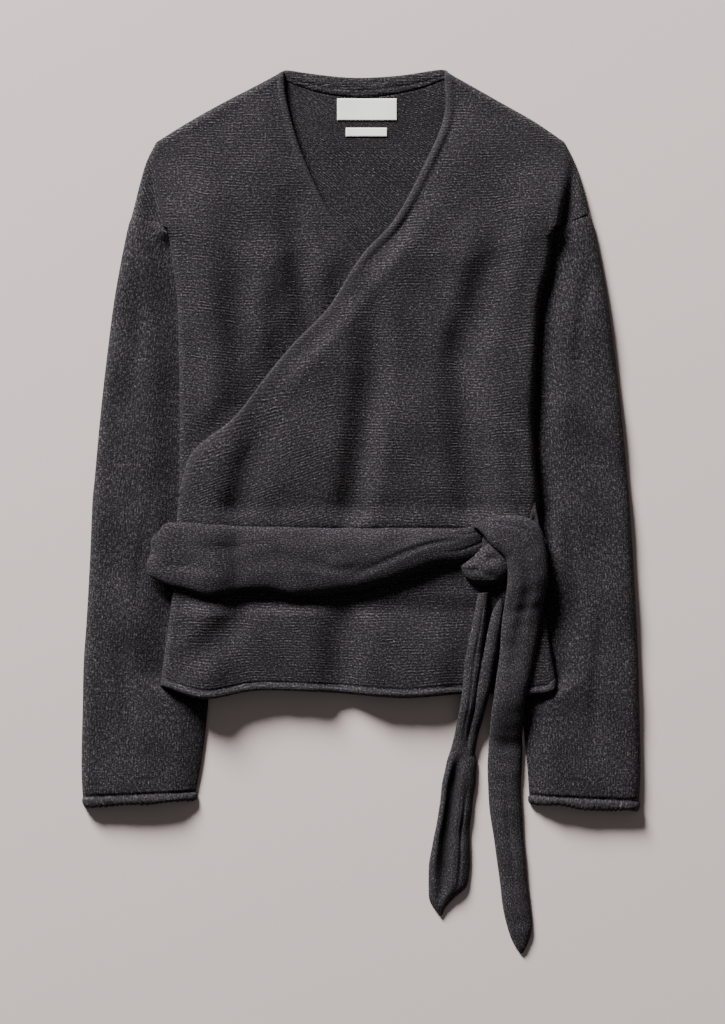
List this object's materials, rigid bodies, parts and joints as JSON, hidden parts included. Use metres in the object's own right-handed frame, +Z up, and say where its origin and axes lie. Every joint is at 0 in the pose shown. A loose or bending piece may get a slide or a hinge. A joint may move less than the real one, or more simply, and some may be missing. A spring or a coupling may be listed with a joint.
{
  "type": "wrap cardigan",
  "caption": "Knitted wrap cardigan laid flat with crossed fronts, long sleeves and a sash tied in a knot at the waist.",
  "frame": {"origin": "middle of the bounding box in plan, on the surface that the cardigan lies on", "axes": "+X to the right as seen from above with the neck at the far end, +Y to the neck, +Z up from the surface"},
  "size_m": [0.5152, 0.8162, 0.0336],
  "materials": {
    "wool_knit": "dark charcoal wool knit, purl side out, matt and hairy",
    "wool_knit_inside": "inside of the same wool knit, matt",
    "wool_jersey": "fine plain wool jersey, matt",
    "label_weave": "white woven label tape, blank"
  },
  "bodies": {
    "root": {"back": "wool_knit_inside", "front_under": "wool_knit", "front_over": "wool_knit", "neckband": "wool_knit", "label_main": "label_weave", "label_small": "label_weave", "sleeve_right": "wool_knit", "sleeve_left": "wool_knit", "sash_front": "wool_jersey", "sash_side": "wool_jersey", "sash_back": "wool_jersey", "knot": "wool_jersey", "knot_loop": "wool_jersey", "tail_right": "wool_jersey", "tail_left": "wool_jersey", "tail_left_fold": "wool_jersey"}
  },
  "joints": []
}
